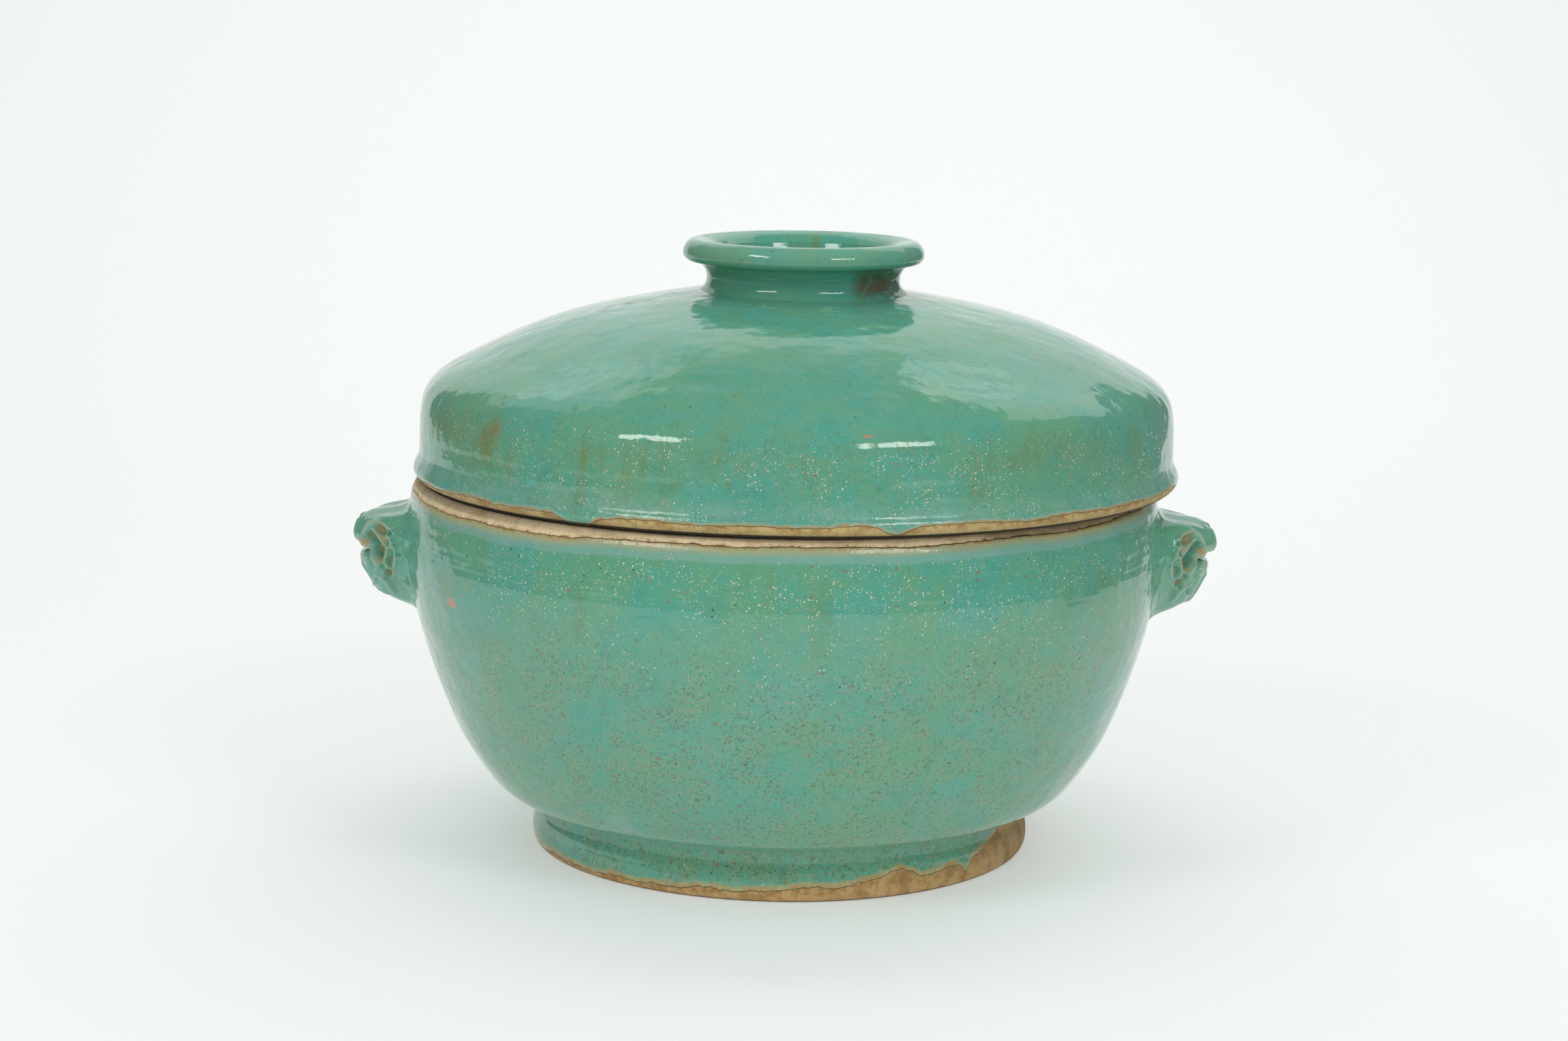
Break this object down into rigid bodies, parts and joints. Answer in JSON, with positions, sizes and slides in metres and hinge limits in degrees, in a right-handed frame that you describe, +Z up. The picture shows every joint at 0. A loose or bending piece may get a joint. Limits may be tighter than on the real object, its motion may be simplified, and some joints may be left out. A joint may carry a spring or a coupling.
{
  "type": "lidded rice bowl",
  "caption": "Round glazed stoneware rice bowl on a foot ring, with moulded beast masks at the sides and a domed lift-off lid with a hollow ring knob.",
  "frame": {"origin": "centre of the foot ring's flat base, on the bowl's axis, at the bottom of the box", "axes": "+Z up along the bowl's axis, +X through the right-hand mask, -Y towards the viewer"},
  "size_m": [0.2902, 0.255, 0.2035],
  "materials": {
    "green_glaze": "glossy turquoise-green lead glaze with fine pinholes, bare buff clay at the rim and foot",
    "bare_clay": "unglazed buff stoneware"
  },
  "bodies": {
    "bowl_body": {"bowl": "green_glaze", "foot_ring": "green_glaze", "beast_mask_left": "green_glaze", "beast_mask_right": "green_glaze"},
    "lid_body": {"lid": "green_glaze", "lid_flange": "bare_clay", "lid_knob": "green_glaze"}
  },
  "joints": [
    {"name": "lid_lift", "type": "slide", "parent": "bowl_body", "child": "lid_body", "axis": [0, 0, 1], "range_m": [0, 0.16]}
  ]
}
